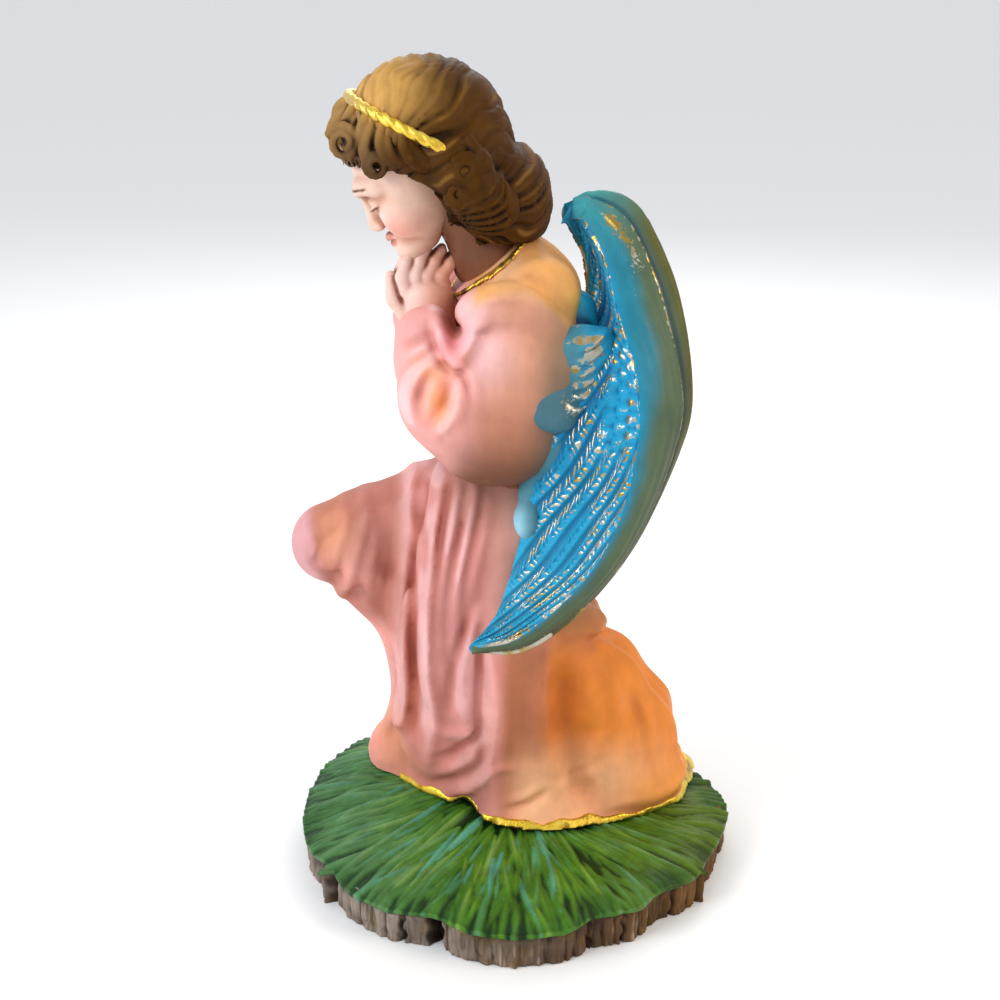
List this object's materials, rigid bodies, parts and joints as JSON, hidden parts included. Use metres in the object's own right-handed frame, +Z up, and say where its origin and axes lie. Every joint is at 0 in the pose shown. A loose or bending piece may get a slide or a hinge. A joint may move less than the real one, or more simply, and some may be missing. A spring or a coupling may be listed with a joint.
{
  "type": "angel figurine",
  "caption": "Kneeling angel figurine in pink robe with praying hands, cupped blue feathered wings, gold headband and hems, on a round grassy base.",
  "frame": {"origin": "centre of the plinth's flat underside", "axes": "+Z up, -Y the way the angel faces, +X the angel's left side"},
  "size_m": [0.1095, 0.1096, 0.1995],
  "materials": {
    "bark_brown": "painted cast resin, brown bark-like wall with a darker wash in the grooves",
    "grass_green": "painted cast resin, two greens dry-brushed over combed grass strokes",
    "robe_pink": "painted cast resin, satin pink with lavender and peach shading",
    "robe_peach": "painted cast resin, satin peach shading to orange",
    "skin": "painted cast resin, satin skin tone",
    "hair_brown": "painted cast resin, brown with darker creases",
    "gold_paint": "bright metallic gold paint on raised resin",
    "wing_blue": "painted cast resin, sky blue with gold and silver dry-brushing",
    "dowel_wood": "plain turned hardwood",
    "pin_steel": "plain steel wire"
  },
  "bodies": {
    "root": {"earth_plinth": "bark_brown", "grass_mound": "grass_green", "skirt": "robe_pink", "knee_drape": "robe_pink", "train": "robe_peach", "torso": "robe_peach", "left_sleeve": "robe_pink", "right_sleeve": "robe_pink", "left_hand": "skin", "right_hand": "skin", "neck": "skin", "head": "skin", "hair": "hair_brown", "fringe_curls": "hair_brown", "headband": "gold_paint", "left_wing": "wing_blue", "right_wing": "wing_blue", "collar_trim": "gold_paint", "front_hem_trim": "gold_paint", "train_hem_trim": "gold_paint", "base_dowels": "dowel_wood", "neck_dowel": "dowel_wood", "wing_pins": "pin_steel"}
  },
  "joints": []
}
